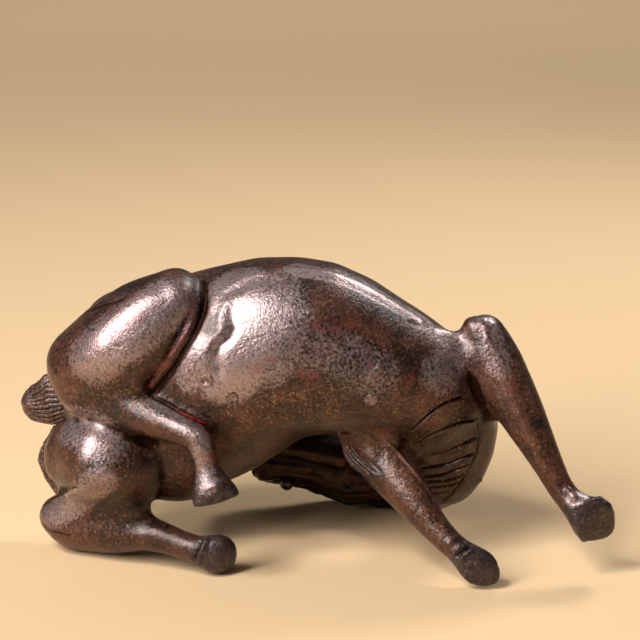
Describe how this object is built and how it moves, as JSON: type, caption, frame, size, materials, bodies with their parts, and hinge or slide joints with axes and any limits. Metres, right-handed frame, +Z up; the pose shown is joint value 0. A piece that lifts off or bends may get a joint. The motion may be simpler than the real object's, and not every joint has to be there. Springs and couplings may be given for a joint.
{
  "type": "qilin figurine",
  "caption": "Cast bronze qilin lying on its left side: hind legs folded, forelegs stretched, neck turned back so the head rests behind the belly; dark lacquered patina.",
  "frame": {"origin": "on the table, under the middle of the figure's bounding box", "axes": "+X from the rump towards the chest, +Y from the belly towards the back, +Z up from the table as the figure lies on its left side"},
  "size_m": [0.1772, 0.0822, 0.0882],
  "materials": {
    "bronze": "dark patina with worn lacquer, satin to glossy on high spots, red lacquer in creases and gilt flecks",
    "hoof_bronze": "rough dark cast surface",
    "fitting_bronze": "filed and lacquered over",
    "gilt": "worn gilding"
  },
  "bodies": {
    "root": {"torso_shell": "bronze", "neck_shell": "bronze", "skull": "bronze", "lower_jaw": "bronze", "horn": "bronze", "left_ear": "bronze", "right_ear": "bronze", "beard": "bronze", "mane": "bronze", "tail_brush": "bronze", "tail_lock": "bronze", "right_hind_leg": "bronze", "left_hind_leg": "bronze", "right_foreleg": "bronze", "left_foreleg": "bronze", "right_hind_hoof": "hoof_bronze", "left_hind_hoof": "hoof_bronze", "right_fore_hoof": "hoof_bronze", "left_fore_hoof": "hoof_bronze", "right_hind_wedge": "fitting_bronze", "left_hind_wedge": "fitting_bronze", "right_fore_wedge": "fitting_bronze", "left_fore_wedge": "fitting_bronze", "neck_pin": "fitting_bronze", "nape_pin": "fitting_bronze", "jaw_rivet": "fitting_bronze", "groin_plug": "fitting_bronze", "belly_plug": "fitting_bronze", "chest_plug": "fitting_bronze", "flank_plug": "fitting_bronze", "left_eye": "gilt", "right_eye": "gilt"}
  },
  "joints": []
}
